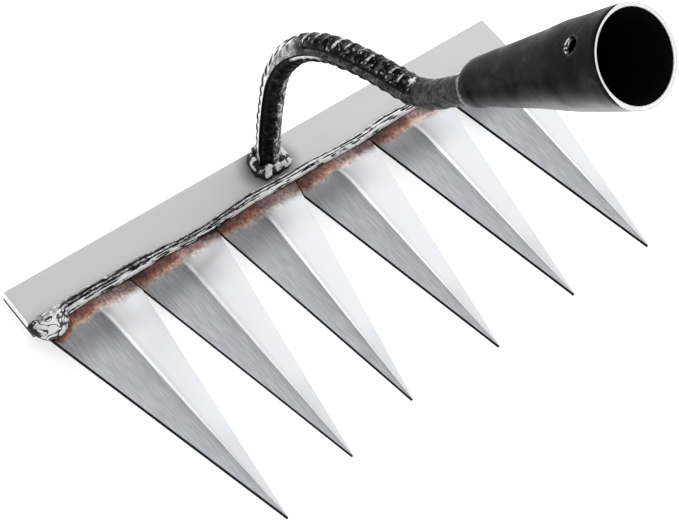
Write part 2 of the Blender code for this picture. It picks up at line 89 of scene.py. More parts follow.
# Neck, as in the solids but with finer sides and rings
ROD_RADIUS = 4.8 * MM
ROD_GROWTH = 0.9 * MM
ROD_FOOT = Vector((-3.7 * MM, BAR_WIDTH / 2 + 0.6 * MM, BAR_TOP))
ROD_YAW = radians(2.0)
ROD_LEAN_BACK = radians(15.3)
ROD_BENDS = tuple((length * MM, radians(turn)) for length, turn in (
    (46.6, 11.0), (54.7, 62.3), (32.8, 13.3), (21.0, -37.1),
))
ROD_LAST_STRAIGHT = 19.8 * MM
ROD_IN_SOCKET = 9.0 * MM
ROD_FORWARD = Vector((sin(ROD_YAW), -cos(ROD_YAW), 0))
ROD_TO_SOCKET = sum(length for length, turn in ROD_BENDS) + ROD_LAST_STRAIGHT
ROD_SIDES = 72
ROD_STEP = 0.5 * MM
SIDE_RIB_HEIGHT = 0.8 * MM
SIDE_RIB_HALF_ANGLE = radians(10)
SIDE_RIB_STEEPNESS = 70.0
CROSS_RIB_HEIGHT = 0.55 * MM
CROSS_RIB_PITCH = 5.5 * MM
CROSS_RIB_SLANT = 0.6 * MM
CROSS_RIB_REACH = 1.6
CROSS_RIB_TAPER = 0.8
CROSS_RIB_CLEAR = 0.22
CROSS_RIB_ROUNDING = 0.8
RIB_STRAY = 1.0 * MM
PLAIN_AT_FOOT = 7.0 * MM
PLAIN_AT_SOCKET = 7.0 * MM
RIB_FADE = 5.0 * MM
INNER_RIB_SHARE = 0.35
PLAIN_INSIDE_TO = 55.0 * MM
CALM_FROM = 139.0 * MM
CALM_FADE = 8.0 * MM
CALM_SHARE = 0.3
ROD_ROUGH = 0.09 * MM
KNOBBLY_FROM = 130.0 * MM
KNOBBLY_GAIN = 2.0
ROD_GLINT_AT = 142.5 * MM
ROD_GLINT_TURN = radians(14.32)

# Socket, as in the solids but with more sides and a rounded rim
SOCKET_LENGTH = 80.6 * MM
SOCKET_BORE_AT_LIP = ROD_RADIUS + ROD_GROWTH / 2 + SEAT
SOCKET_LIP_RADIUS = SOCKET_BORE_AT_LIP + 0.6 * MM
SOCKET_SHOULDER = 7.6 * MM
SOCKET_PROFILE = (in_mm(7.6, 8.6), in_mm(35.0, 11.7), in_mm(55.0, 14.35), in_mm(80.6, 16.4))
SOCKET_OFFSET = 1.5 * MM
SOCKET_WALL = 1.6 * MM
SOCKET_SIDES = 144
SOCKET_STEP = 2.0 * MM
SHOULDER_STEPS = 12
SOCKET_DENTS = 0.22 * MM
SOCKET_DENT_SIZE = 14.0
SOCKET_DENT_TURN = 2 * SOCKET_DENT_SIZE * MM
SOCKET_SHARP_ANGLE = 35.0
RIM_ROUNDING = 0.25 * MM
RIM_BRIGHT_TOWARD = Vector((0.75, -0.63, 0.19))
SCREW_HOLE_RADIUS = 2.6 * MM
SCREW_HOLE_HEIGHT = SOCKET_LENGTH - 12.0 * MM
SCREW_HOLE_TURN = radians(44.0)
SCREW_HOLE_SINK = 0.45 * MM
SCREW_HOLE_SIDES = 48

# Weld along the joint, with its course as (place along the bar, middle, half width)
BEAD_HALF_WIDTH = 2.75 * MM
BEAD_COURSE = tuple(in_mm(*row) for row in (
    (-127.0, 1.0, 3.1), (-91.0, 1.35, 2.75), (-77.0, 1.6, 2.8), (-66.0, 0.85, 2.2), (-56.0, 0.1, 1.9),
    (-44.0, 0.0, 2.0), (-35.0, 0.65, 2.0), (-21.0, 1.3, 2.3), (7.0, 1.0, 2.1), (21.0, 0.2, 2.05),
    (33.0, 0.3, 2.05), (49.0, 1.3, 2.3), (63.0, 1.0, 2.0), (80.0, 0.7, 2.4), (123.0, 0.6, 2.6),
))
# Each dark line's place across the bead, half width, depth and how common it is
BEAD_LINES = (
    (0.45, 0.21, 1.9, 1.1),
    (-0.24, 0.1, 1.7, 0.95),
    (-0.6, 0.08, 1.5, 0.78),
    (-0.88, 0.07, 1.4, 0.68),
)
LINES_THIN_OUT = 0.25
LINES_THIN_FROM = -20.0 * MM
LINES_THIN_FADE = 30.0 * MM
BEAD_DULL_END = -10.0 * MM
BEAD_DULL_FADE = 25.0 * MM
BEAD_HEIGHT = 2.4 * MM
BEAD_RELIEF_SHARE = 0.22
BEAD_WANDER = 0.2 * MM
BEAD_WANDER_SIZE = 30.0
BEAD_OVERHANG = 1.6 * MM
BEAD_END_SIZE = 0.45
BEAD_STEP = 0.4 * MM
BEAD_TURN_STEP = 6
LUMP_LENGTH = 15.5 * MM
LUMP_HALF_WIDTH = 5.8 * MM
LUMP_HEIGHT = 4.0 * MM
LUMP_ROUNDNESS = 0.6
LUMP_SHIFT = -1.7 * MM
LUMP_SHADOW_OUTLINE = 2.6 * MM
LUMP_CENTRE = Vector((LUMP_LENGTH / 2 - BAR_LENGTH / 2 - BEAD_OVERHANG, LUMP_SHIFT, BAR_TOP))

# Smaller welds, with their lumps as (size in millimetres, share)
FOOT_ROUGHS = ((3.0, 1.3), (1.2, 0.5))
FINE_ROUGHS = ((2.2, 0.9), (0.9, 0.45))
FOOT_WELD_FRONT = (0.86, 1.35)
WELD_SHARP_ANGLE = 80.0
WELD_FRONT_FADE = 6.0 * MM
WELD_BASE_HEIGHT = 1.8 * MM
WELD_BASE_FADE = 1.5 * MM

# Floor and the photograph's camera, whose turns about X, Y and Z are in degrees
FLOOR_HALF_SIZE = 40.0
FLOOR_DROP = 0.2 * MM
CAMERA_PLACE = Vector((-348.128, -212.489, 619.443)) * MM
CAMERA_TURNS = (31.83102, -11.02884, -39.94768)
CAMERA_LENS = 99.108


# Helpers for meshes

def smooth_step(value):
    value = min(max(value, 0.0), 1.0)
    return value * value * (3 - 2 * value)


def steps(start, end, count):
    return [start + (end - start) * step / count for step in range(count + 1)]


def turns(count):
    return [2 * pi * side / count for side in range(count)]


def lump(x, y, z, size):
    """Smooth unevenness between about -1 and 1, with its size in millimetres."""
    return noise.noise(Vector((x, y, z)) / (size * MM))


def rows_around(rows, place):
    """The two rows of a table that a place lies between, and its share of the way."""
    for low, high in zip(rows, rows[1:]):
        if place <= high[0]:
            return low, high, (place - low[0]) / (high[0] - low[0])
    return rows[-1], rows[-1], 0.0


def mesh_from(name, shape):
    """Ends the work on a shape and keeps it as a mesh."""
    mesh = bpy.data.meshes.new(name)
    shape.to_mesh(mesh)
    shape.free()
    return mesh


def keep_marks(mesh, names, rows):
    """Keeps a row of named values for each point of a mesh, which its material reads."""
    for name, values in zip(names, zip(*rows)):
        mesh.attributes.new(name, "FLOAT", "POINT").data.foreach_set("value", values)


def loft(name, rings, closed=False):
    """Mesh through rings of equally many points."""
    shape = bmesh.new()
    rows = [[shape.verts.new(point) for point in ring] for ring in rings]
    pairs = list(zip(rows, rows[1:]))
    if closed:
        pairs.append((rows[-1], rows[0]))
    for low, high in pairs:
        for index in range(len(low)):
            following = (index + 1) % len(low)
            shape.faces.new((low[index], low[following], high[following], high[index]))
    if not closed:
        shape.faces.new(rows[0])
        shape.faces.new(rows[-1])
    bmesh.ops.recalc_face_normals(shape, faces=shape.faces)
    return mesh_from(name, shape)


def add_object(name, data):
    item = bpy.data.objects.new(name, data)
    bpy.context.scene.collection.objects.link(item)
    return item


def modified_mesh(item):
    """An object's mesh with its modifiers carried out."""
    graph = bpy.context.evaluated_depsgraph_get()
    return bpy.data.meshes.new_from_object(item.evaluated_get(graph))


def smooth(mesh, sharp_angle):
    """Smooth shading, with corners over an angle in degrees kept sharp."""
    mesh.shade_smooth()
    mesh.set_sharp_from_angle(angle=radians(sharp_angle))


def add_piece(mesh, material, node, sharp_angle, place=Matrix.Identity(4)):
    """Adds a piece, named like its mesh, that rides on the body in a solid's place."""
    mesh.transform(Matrix.Translation(BENCH) @ place)
    smooth(mesh, sharp_angle)
    mesh.materials.clear()
    mesh.materials.append(material)
    item = add_object(mesh.name, mesh)
    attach(item, BODY)
    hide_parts(node)
    return item


# Helper for materials

class Paint:
    """A material in the making, with short calls for its nodes.

    Sizes of noise and depths of bumps are in millimetres, and all other lengths in metres.
    In products and coats, a share may be given as (value, low, high), which stands for its ease.
    """

    def __init__(self, name, metallic, roughness):
        self.material = bpy.data.materials.new(name)
        self.material.use_nodes = True
        self.tree = self.material.node_tree
        self.shader = self.tree.nodes["Principled BSDF"]
        self.feed(self.shader, {"Metallic": metallic, "Roughness": roughness})
        self.place = self.node("TexCoord")["Object"]

    def feed(self, node, values):
        """Links outputs of other nodes to a node's sockets, or sets constants there."""
        for socket, value in dict(values).items():
            if isinstance(value, bpy.types.NodeSocket):
                self.tree.links.new(value, node.inputs[socket])
            elif value is not None:
                node.inputs[socket].default_value = value

    def node(self, kind, values=(), **settings):
        """Adds a node and gives its outputs."""
        made = self.tree.nodes.new("ShaderNode" + kind)
        for key, value in settings.items():
            setattr(made, key, value)
        self.feed(made, values)
        return made.outputs

    def finish(self, color, roughness=None, metallic=None, bumps=()):
        """Links colour and roughness, and a chain of bumps given as (height, depth)."""
        normal = None
        for height, depth in bumps:
            values = {"Distance": depth * MM, "Height": height, "Normal": normal}
            normal = self.node("Bump", values)["Normal"]
        looks = {"Base Color": color, "Roughness": roughness, "Metallic": metallic, "Normal": normal}
        self.feed(self.shader, looks)
        return self.material

    def math(self, operation, *values):
        return self.node("Math", enumerate(values), operation=operation)[0]

    def vectors(self, operation, *values):
        return self.node("VectorMath", enumerate(values), operation=operation)

    def ease(self, value, low, high, start=0.0, end=1.0):
        """Smooth rise from start to end while the value goes from low to high."""
        values = enumerate((value, low, high, start, end))
        return self.node("MapRange", values, interpolation_type="SMOOTHSTEP")[0]

    def product(self, *shares):
        first, *others = [self.ease(*share) if isinstance(share, tuple) else share for share in shares]
        for other in others:
            first = self.math("MULTIPLY", first, other)
        return first

    def between(self, value, low, full, fading, high):
        """Smooth rise from 0 to 1 between low and full, and back to 0 between fading and high."""
        return self.product((value, low, full), (value, high, fading))

    def greatest(self, first, *others):
        for other in others:
            first = self.math("MAXIMUM", first, other)
        return first

    def strayed(self, value, texture, size):
        """A value that strays up and down with a texture, by half a size either way."""
        return self.math("MULTIPLY_ADD", self.math("SUBTRACT", texture, 0.5), size, value)

    def mix(self, share, low, high, blend="MIX"):
        values = {0: share, 6: rgba(low), 7: rgba(high)}
        return self.node("Mix", values, data_type="RGBA", blend_type=blend)[2]

    def coat(self, under, over, *shares):
        """A colour with another one over it, as far as the product of shares says."""
        return self.mix(self.product(*shares), under, over)

    def tinted(self, color, *tints):
        for tint in tints:
            color = self.mix(1.0, color, tint, "MULTIPLY")
        return color

    def ramp(self, value, stops):
        made = self.tree.nodes.new("ShaderNodeValToRGB")
        self.feed(made, {0: value})
        points = made.color_ramp.elements
        while len(points) < len(stops):
            points.new(0.5)
        for point, (position, color) in zip(points, stops):
            point.position = position
            point.color = rgba(color)
        return made.outputs["Color"]

    def noise(self, size, turn=0.0, detail=2.0, roughness=0.5, distortion=0.0):
        """Noise with features of one size, or of three sizes along axes turned about Z."""
        sizes = in_mm(*size) if isinstance(size, tuple) else in_mm(size, size, size)
        counting = {"Vector": self.place, "Rotation": (0, 0, turn), "Scale": sizes}
        counted = self.node("Mapping", counting, vector_type="TEXTURE")[0]
        values = {"Vector": counted, "Scale": 1.0, "Detail": detail, "Roughness": roughness}
        return self.node("TexNoise", {**values, "Distortion": distortion})["Fac"]

    def mark(self, name):
        return self.node("Attribute", attribute_name=name)["Fac"]

    def facing(self, axis, kind="True Normal"):
        """How far the surface faces along X, Y or Z."""
        return self.node("SeparateXYZ", {0: self.node("NewGeometry")[kind]})[axis]

    def toward(self, direction, start=Vector()):
        """How far a place lies along a direction from a point."""
        reached = self.vectors("DOT_PRODUCT", self.place, direction)["Value"]
        return self.math("SUBTRACT", reached, start.dot(direction))

    def reach(self, centre, scale=(1, 1, 1)):
        """Distance from a point, with axes that may count less."""
        moved = self.vectors("SUBTRACT", self.place, centre)[0]
        return self.vectors("LENGTH", self.vectors("MULTIPLY", moved, scale)[0])["Value"]


def rgba(color):
    """A grey or three numbers as a colour of four; a node's output stays as it is."""
    if isinstance(color, float):
        return (color, color, color, 1.0)
    if isinstance(color, tuple) and len(color) == 3:
        return (*color, 1.0)
    return color


# Steel of the bar

def bar_steel():
    """Plain rolled bar: even matte grey, with soot around the rod's foot, and painted shade along the bead's
    edge.
    """
    paint = Paint("rolled_bar_steel", 0.3, 0.6)
    clouds = paint.noise((18, 9, 9), detail=3)
    lines = paint.noise((40, 0.35, 0.35), detail=3)
    color = paint.mix(clouds, 0.705, 0.725)
    # Painted light: the left end face is painted bright, with a painted shadow along its lower corner by the
    # floor
    left_end = paint.ease(paint.facing("X"), -0.4, -0.7)
    end_light_and_shadow = paint.mix(paint.ease(paint.toward(UP), 2.1 * MM, 2.5 * MM), 0.002, 0.97)
    color = paint.coat(color, end_light_and_shadow, left_end)
    from_foot = paint.reach(ROD_FOOT + BENCH, (0.85, 1.0, 0.3))
    color = paint.coat(color, 0.2, (from_foot, 7 * MM, 14 * MM, 0.75, 0.0))
    # Painted shade in the crevice along the bead's edge
    from_seam = paint.toward(BACKWARD, BENCH)
    color = paint.coat(color, 0.12, (from_seam, 1.0 * MM, 2.6 * MM, 0.75, 0.0))
    roughness = paint.ease(lines, 0.3, 0.7, 0.55, 0.65)
    return paint.finish(color, roughness, bumps=((lines, 0.005),))


# Steel of the teeth

def tooth_steel():
    """Brushed steel, painted darker left of the crease and next to the weld as shade, with a painted highlight
    on the crease and heat tint along the weld.
    """
    paint = Paint("brushed_tooth_steel", 0.55, 0.35)
    across = paint.mark("across")
    back = paint.mark("back")
    right = paint.math("GREATER_THAN", across, 0.0)
    left_lines = paint.noise(BRUSH_LINE_SIZE, BRUSH_LINE_TURN, detail=1)
    right_lines = paint.noise(BRUSH_LINE_SIZE, -COMB_TURN, detail=1)
    lines = paint.mix(right, left_lines, right_lines)
    strength = paint.ease(across, -0.05, 0.05, 0.23, 0.03)
    brushed = paint.strayed(1.0, paint.ease(lines, 0.36, 0.64), strength)
    color = paint.tinted(shaded_face_greys(paint, across), brushed, painted_face_light(paint, back, right))
    waved = paint.strayed(back, paint.noise(11, detail=1), 5 * MM)
    color = root_shaded(paint, color, across, right, waved)
    color = heat_tinted(paint, color, across, waved)
    # Painted shade: the cut sides are painted dark, and a thin strip of the top along the left edge is painted
    # as a dark shadow line
    side = paint.ease(paint.math("ABSOLUTE", paint.facing("Z")), 0.75, 0.35)
    side = paint.greatest(side, paint.ease(paint.mark("from_left"), 0.5 * MM, 0.3 * MM))
    color = paint.coat(color, 0.002, side)
    roughness = paint.mix(side, paint.ease(lines, 0.25, 0.75, 0.3, 0.42), 0.6)
    metallic = paint.ease(side, 0.0, 1.0, 0.55, 1.0)
    return paint.finish(color, roughness, metallic, ((lines, 0.012),))


def shaded_face_greys(paint, across):
    """Greys from a tooth's left side, painted darker toward the crease as shade, over a painted highlight on
    the crease to its right side, in faint cool clouds.
    """
    color = paint.ramp(paint.math("MULTIPLY_ADD", across, 0.5, 0.5), (
        (0.0, 0.72), (0.2, 0.67), (0.36, 0.64), (0.44, 0.55), (0.485, 0.48),
        (0.5, 0.98), (0.52, 0.9), (0.55, 0.62), (0.62, 0.7), (1.0, 0.71),
    ))
    clouds = paint.noise((30, 14, 20), detail=1)
    cool = paint.ramp(clouds, ((0.35, (0.97, 1.0, 1.02)), (0.5, 1.0), (0.65, (1.0, 0.98, 1.02))))
    return paint.tinted(color, cool)


def painted_face_light(paint, back, right):
    """Painted light and shade on the faces: the first tooth painted brighter, the last teeth and the tips
    darker.
    """
    along_bar = paint.toward(ALONG_BAR)
    first_tooth = (along_bar, -78 * MM, -88 * MM, 0.975, 1.06)
    last_teeth = (along_bar, 0.0, 60 * MM, 1.0, 0.97)
    toward_tip = (back, 66 * MM, 80 * MM, 1.0, 0.88)
    right_share = paint.tinted(paint.product(first_tooth, last_teeth, toward_tip), (0.997, 1.0, 1.012))
    left_share = paint.tinted(paint.ease(along_bar, 40 * MM, 110 * MM, 1.0, 0.88), (0.985, 1.0, 1.035))
    return paint.mix(right, left_share, right_share)


def root_shaded(paint, color, across, right, waved):
    """Painted shade next to the weld, deep left of the crease and fading out to the right side."""
    left_root_shade = paint.ease(waved, 27 * MM, 13 * MM, 0.0, 0.5)
    right_root_shade = paint.product((waved, 27 * MM, 13 * MM), (across, 0.0, 0.9, 0.37, 0.08))
    color = paint.coat(color, 0.0, paint.mix(right, left_root_shade, right_root_shade))
    # The painted shade is deepest at the crease, whose painted highlight starts softly out of it
    on_crease = paint.between(across, -0.3, -0.05, 0.04, 0.2)
    return paint.coat(color, 0.0, (waved, 15 * MM, 9 * MM, 0.0, 0.15), on_crease)


def heat_tinted(paint, color, across, waved):
    """Heat tint next to the weld and its lump, mottled, with a comb of fine teeth at its front."""
    comb = paint.noise((0.6, 5, 8), COMB_TURN, detail=3, roughness=0.6)
    specks = paint.noise((1.1, 1.8, 2), COMB_TURN, detail=3, roughness=0.6)
    scorched = paint.noise((5, 3, 5), COMB_TURN, detail=2)
    from_lump = paint.reach(LUMP_CENTRE + BENCH, (1.0, 1.0, 0.3))
    from_lump = paint.math("SUBTRACT", from_lump, LUMP_HALF_WIDTH - 0.8 * MM)
    depth = paint.math("SMOOTH_MIN", waved, paint.product(from_lump, 2.2), 7 * MM)
    depth = paint.strayed(depth, comb, 2.2 * MM)
    depth = paint.math("ADD", depth, paint.ease(across, 0.5, 0.95, 0.0, 1.2 * MM))
    place = paint.math("DIVIDE", paint.math("SUBTRACT", depth, 1.2 * MM), TINT_DEPTH)
    # The right side's tint is purplish and painted lighter than the left side's: partly its own colour, partly
    # painted light
    shaded_left_heat = paint.ramp(place, (
        (0.0, (0.09, 0.035, 0.035)), (0.14, (0.14, 0.052, 0.047)), (0.42, (0.24, 0.1, 0.072)),
        (0.58, (0.4, 0.22, 0.155)), (0.74, (0.49, 0.35, 0.27)), (0.9, (0.48, 0.4, 0.34)),
        (1.0, (0.45, 0.4, 0.36)),
    ))
    lit_right_heat = paint.ramp(place, (
        (0.0, (0.16, 0.1, 0.1)), (0.14, (0.18, 0.115, 0.11)), (0.42, (0.24, 0.15, 0.15)),
        (0.58, (0.37, 0.25, 0.235)), (0.74, (0.49, 0.39, 0.34)), (0.9, (0.56, 0.51, 0.46)),
        (1.0, (0.59, 0.56, 0.52)),
    ))
    heat = paint.mix(paint.ease(across, -0.12, 0.2), shaded_left_heat, lit_right_heat)
    # Besides the mottling, the tint is painted lighter along the crease as a painted highlight, and darker
    # toward the sides and the right edge
    heat = paint.tinted(
        heat,
        paint.ease(specks, 0.3, 0.68, 0.5, 1.4),
        paint.ease(scorched, 0.36, 0.6, 0.62, 1.12),
        paint.ease(paint.math("ABSOLUTE", across), 0.1, 0.9, 1.2, 0.75),
        paint.ease(across, 0.45, 0.95, 1.0, 0.6),
    )
    return paint.coat(color, heat, (place, 0.55, 1.1, 1.0, 0.0))


# Weld metal

def weld_metal():
    """Weld metal, painted white on its high places and black in its hollows and at its edges as painted
    highlight and shade, and blotched blue-grey where it is dull.
    """
    paint = Paint("weld_metal", 0.15, 0.25)
    dull = paint.mark("dull")
    streaks = paint.noise((3.6, 0.6, 0.6), detail=3, roughness=0.6, distortion=0.5)
    grain = paint.noise(0.8, detail=3)
    blotches = paint.noise((2.4, 1.1, 1.1), detail=2, distortion=0.8)
    level = paint.strayed(paint.mark("relief"), streaks, paint.math("MULTIPLY_ADD", dull, 0.6, 0.7))
    # The ramp paints the shade mark: high places white as a painted highlight, hollows and edges black as
    # painted shade
    color = paint.ramp(level, (
        (0.0, 0.003), (0.38, 0.008), (0.45, (0.17, 0.165, 0.19)), (0.51, 0.8), (0.58, 1.0), (1.0, 1.0),
    ))
    worn = paint.ramp(blotches, (
        (0.0, 0.005), (0.42, (0.03, 0.03, 0.04)), (0.49, (0.22, 0.22, 0.27)),
        (0.56, (0.38, 0.38, 0.44)), (0.6, 0.95), (1.0, 1.0),
    ))
    color = paint.mix(dull, color, paint.mix(0.7, color, worn, "MULTIPLY"))
    # Thin black squiggles where it is dull and on the lump
    ridges = paint.noise((5.5, 3.6, 3.6), detail=1, roughness=0.4, distortion=1.0)
    on_lump = paint.ease(paint.reach(LUMP_CENTRE + BENCH), 9 * MM, 7 * MM)
    off_ridge = paint.math("ABSOLUTE", paint.math("SUBTRACT", ridges, 0.5))
    off_ridge = paint.math("MULTIPLY_ADD", on_lump, -0.02, off_ridge)
    color = paint.coat(color, 0.004, (off_ridge, 0.036, 0.018, 0.0, 0.95), paint.greatest(dull, on_lump))
    roughness = paint.ease(level, 0.3, 0.6, 0.5, 0.22)
    return paint.finish(color, roughness, bumps=((streaks, 0.12), (grain, 0.04)))


def painted_weld():
    """The socket's weld is painted over: mottled dark grey, like the rod's end beside it."""
    paint = Paint("black_bead_paint", 0.0, 0.4)
    grain = paint.noise(1.2, detail=3, roughness=0.6)
    color = paint.ramp(grain, ((0.34, 0.01), (0.44, 0.12), (0.58, 0.3)))
    return paint.finish(color, paint.ease(grain, 0.3, 0.7, 0.3, 0.5), bumps=((grain, 0.1),))


# Black of the rod

class RodPaint(Paint):
    """Black scale over ribs, with painted highlights as bright bare metal on the crests and on the flank of the
    lower neck.

    Along the rod, places are lengths from its foot. Around it they are degrees from its outer side.
    """

    def __init__(self):
        super().__init__("black_rod_paint", 0.0, 0.3)
        self.shader.inputs["IOR"].default_value = 1.15
        self.crest = self.mark("crest")
        self.turn = self.mark("turn")
        self.along = self.mark("along")
        self.near = self.mark("near")
        self.near_side = self.ease(self.near, 0.0, 0.1)
        self.lower = self.ease(self.along, 62 * MM, 52 * MM)
        self.grain = self.noise(1.0, detail=4, roughness=0.65)
        self.blobs = self.noise(2.4, detail=3, roughness=0.6, distortion=0.7)
        self.streaked = self.noise((1.8, 1.8, 3.6), detail=2, distortion=1.2)
        # The first bend's flank ends at a slanting outer limit, which black slashes of painted shade cross
        self.bend = self.between(self.along, 50 * MM, 56 * MM, 78 * MM, 86 * MM)
        limit = self.math("MULTIPLY_ADD", self.along, -1900.0, 192.0)
        self.past_limit = self.math("SUBTRACT", self.turn, limit)
        self.outer_strip = self.product(self.bend, (self.turn, 14, 24), self.near_side)
        slant = self.math("MULTIPLY_ADD", self.along, 2 * pi / CROSS_RIB_PITCH, self.product(self.turn, 0.1))
        slanting = self.math("SINE", slant), -0.45, -0.1
        self.slash_shade = self.product(slanting, (self.past_limit, -3, -9), self.outer_strip)

    def rest(self, share):
        return self.math("SUBTRACT", 1.0, share)

    def scale(self):
        """Colour of the scale: black, with grey blotches here and there, a painted highlight on the lengthwise
        rib and black lines of painted shade.
        """
        color = self.ramp(self.blobs, ((0.4, 0.0005), (0.52, 0.006), (0.6, 0.05), (0.66, 0.12)))
        faint = self.ramp(self.blobs, ((0.42, 0.0005), (0.54, 0.006), (0.66, 0.035)))
        color = self.coat(color, faint, self.lower, (self.near, 0.1, 0.3))
        mottled = self.ramp(self.streaked, ((0.36, 0.0005), (0.42, 0.08), (0.49, 0.24), (0.54, 0.002)))
        color = self.coat(color, mottled, self.lower, (self.near, 0.3, 0.05))
        # Past the lower neck, the lengthwise rib is a smooth grey band of painted highlight, with a black line
        # of painted shade at either side
        upper_near = self.product(self.rest(self.lower), self.near_side)
        color = self.coat(color, 0.0005, (self.turn, 60, 65), upper_near)
        rib_band_highlight = self.ramp(self.blobs, ((0.34, 0.02), (0.46, 0.055), (0.56, 0.1), (0.66, 0.2)))
        color = self.coat(color, rib_band_highlight, self.between(self.turn, 71, 76, 92, 96), upper_near)
        # The first bend's flank is a lighter mottled grey
        flank = self.product((self.past_limit, -4, 2), (self.turn, 98, 94), self.near_side)
        bend_grey = self.ramp(self.blobs, ((0.36, 0.12), (0.48, 0.36), (0.62, 0.7)))
        color = self.coat(color, bend_grey, flank, self.bend)
        # Painted shade: black slashes across the outer strip
        color = self.coat(color, 0.0005, self.slash_shade)
        # Painted shade: the black line under the lengthwise rib
        color = self.coat(color, 0.0005, self.between(self.turn, 94, 96, 104, 107), self.near_side)
        socket_grey = self.ramp(self.blobs, ((0.35, 0.02), (0.5, 0.045), (0.65, 0.1)))
        return self.coat(color, socket_grey, (self.along, 141 * MM, 147 * MM))

    def glint_share(self):
        """Share of painted highlights, made as bright bare metal, which ends short of the socket."""
        shares = self.crest_glints(), self.flank_glints_and_spots(), self.bend_highlights(), self.small_marks()
        return self.product(self.greatest(*shares), (self.along, 143.5 * MM, 147 * MM, 1.0, 0.0))

    def crest_glints(self):
        """Painted highlights: slashes on the crests."""
        glinting = self.strayed(self.crest, self.grain, 0.9), 0.58, 0.76
        patches = self.noise(3.5, detail=2), 0.38, 0.48
        return self.product(glinting, patches, (self.turn, 84, 66), self.rest(self.slash_shade))

    def flank_glints_and_spots(self):
        """Painted highlight on the lower neck's flank, scalloped by the cross ribs, and blobs on its inner
        side.
        """
        scales = self.strayed(self.crest, self.grain, 0.7), -0.3, -0.08
        scalloped = self.math("MULTIPLY_ADD", self.mark("stripe"), -8.0, self.turn)
        worn = self.product((scalloped, 69, 75), (self.turn, 94, 91), scales, self.near_side)
        inner_side = self.product((self.near, 0.35, 0.1), (self.near, -0.95, -0.6, 0.25, 1.0))
        spots = self.product(inner_side, (self.streaked, 0.54, 0.58))
        return self.product(self.lower, self.greatest(worn, spots))

    def bend_highlights(self):
        """Painted highlights: white beyond the first bend's outer limit, and a bright line under the rib at the
        bend's top.
        """
        between_slashes = self.math("SUBTRACT", self.outer_strip, self.slash_shade)
        blown_highlight = self.product((self.past_limit, 0, -5), between_slashes)
        under_rib = self.between(self.turn, 104, 107, 117, 121)
        at_top = self.between(self.along, 74 * MM, 79 * MM, 92 * MM, 99 * MM)
        glint = self.product(under_rib, self.near_side, at_top, (self.grain, 0.32, 0.42))
        return self.greatest(blown_highlight, glint)

    def small_marks(self):
        """Specks on the upper neck, and one glint where the rod starts to bend up again."""
        specks = self.noise(1.3, detail=2), 0.63, 0.68, 0.0, 0.5
        specks = self.product(specks, (self.turn, 66, 56), (self.along, 80 * MM, 90 * MM))
        centre, heading, outer, flank = rod_at(ROD_GLINT_AT)
        spot = centre + (outer * cos(ROD_GLINT_TURN) + flank * sin(ROD_GLINT_TURN)) * ROD_RADIUS
        ragged = self.strayed(self.reach(BENCH + spot), self.grain, 7 * MM)
        return self.greatest(specks, self.ease(ragged, 1.8 * MM, 1.2 * MM))


def black_rod():
    paint = RodPaint()
    glint_share = paint.glint_share()
    # Painted highlights as bright bare metal over the scale
    color = paint.coat(paint.scale(), 0.9, glint_share)
    roughness = paint.ease(paint.grain, 0.3, 0.7, 0.25, 0.42)
    return paint.finish(color, roughness, paint.product(glint_share, 0.8), ((paint.grain, 0.15),))


# Black of the socket

def black_socket():
    """Semi-gloss black over forged steel, clouded, and bare at the mouth's rim, with a painted reflection of
    the floor along its lowest side and, around the screw hole, a painted dark reflection and painted
    highlights.
    """
    paint = Paint("black_socket_paint", 0.0, 0.3)
    paint.shader.inputs["IOR"].default_value = 1.13
    axis = socket_frame().to_3x3() @ UP
    mouth = BENCH + socket_frame() @ (UP * SOCKET_LENGTH)
    height = paint.toward(axis, mouth)
    clouds = paint.noise(9, detail=3, distortion=0.8)
    grain = paint.noise(1.0, detail=3)
    color = paint.ramp(clouds, ((0.32, 0.0005), (0.45, 0.004), (0.58, 0.012), (0.7, 0.03)))
    # Painted reflection of the floor: soft light patches along the lowest side, which faces the floor
    edge = paint.node("LayerWeight", {"Blend": 0.5})["Facing"], 0.35, 0.9, 0.0, 0.9
    downward = paint.facing("Z", "Normal"), -0.05, -0.5
    patches = clouds, 0.25, 0.6, 0.5, 1.0
    color = paint.coat(color, 0.42, edge, downward, patches, (height, -64 * MM, -18 * MM, 0.12, 1.0))
    # Around the screw hole: a painted dark reflection, nearly dead black, with a grey ring of painted
    # highlight, and a bright spot on the sunk edge that is bare metal with a painted highlight
    hole = BENCH + screw_hole_frame() @ (UP * socket_radius(SCREW_HOLE_HEIGHT))
    from_hole = paint.reach(hole)
    color = paint.coat(color, 0.0005, (from_hole, 16 * MM, 5 * MM, 0.0, 0.92))
    ring = paint.between(from_hole, 2.75 * MM, 3.0 * MM, 3.3 * MM, 3.7 * MM)
    color = paint.coat(color, 0.07, ring, (grain, 0.35, 0.6))
    on_edge = from_hole, 3.0 * MM, 2.9 * MM
    toward_lip = paint.toward(-axis, hole), 1.0 * MM, 1.8 * MM
    spark = paint.product(on_edge, toward_lip, (grain, 0.42, 0.5))
    # The rim is bare and bright; its outer corner is dark on the left and bright toward the right
    rightward = paint.ease(paint.toward(RIM_BRIGHT_TOWARD, mouth), -11 * MM, -2 * MM)
    from_axis = paint.math("SUBTRACT", paint.reach(mouth), paint.product(rightward, 1.0 * MM))
    rim = paint.product((height, -0.5 * MM, -0.2 * MM), (from_axis, 15.75 * MM, 15.55 * MM))
    color = paint.coat(color, 0.95, paint.greatest(rim, spark))
    roughness = paint.math("ADD", paint.ease(clouds, 0.3, 0.7, 0.24, 0.42), paint.product(grain, 0.08))
    metallic = paint.greatest(paint.product(spark, 0.7), paint.product(rim, 0.9))
    return paint.finish(color, roughness, metallic, ((clouds, 0.3), (grain, 0.02)))


